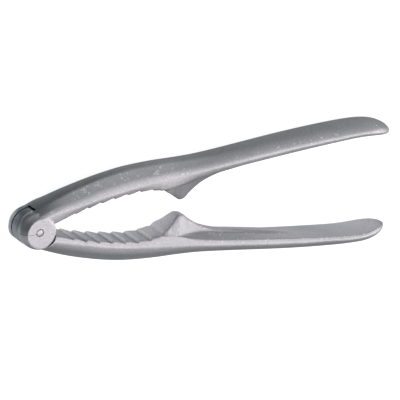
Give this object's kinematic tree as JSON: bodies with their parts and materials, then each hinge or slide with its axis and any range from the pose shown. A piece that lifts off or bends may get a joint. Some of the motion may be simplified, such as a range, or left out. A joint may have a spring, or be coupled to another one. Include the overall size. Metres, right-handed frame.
{
  "type": "nutcracker",
  "caption": "Cast metal nutcracker: hinged levers with toothed jaws, pointed shoulders and long flared handles that turn on a cross pin.",
  "frame": {"origin": "on the cross pin's axis, at the side face that the tool rests on when it lies down", "axes": "+X from the hinge towards the handle tips, midway between the two levers; +Y towards the forked lever; +Z along the pin's axis, up off the rest face"},
  "size_m": [0.1818, 0.0556, 0.0176],
  "materials": {
    "cast_metal": "satin",
    "pin_metal": "satin"
  },
  "bodies": {
    "tongue_side": {"tongue_lever": "cast_metal", "pivot_pin": "pin_metal"},
    "fork_side": {"clevis_lever": "cast_metal"}
  },
  "joints": [
    {"name": "lever_hinge", "type": "hinge", "parent": "tongue_side", "child": "fork_side", "pos_m": [0, 0, 0.0088], "axis": [0, 0, 1], "range_deg": [-5.4, 165]}
  ]
}
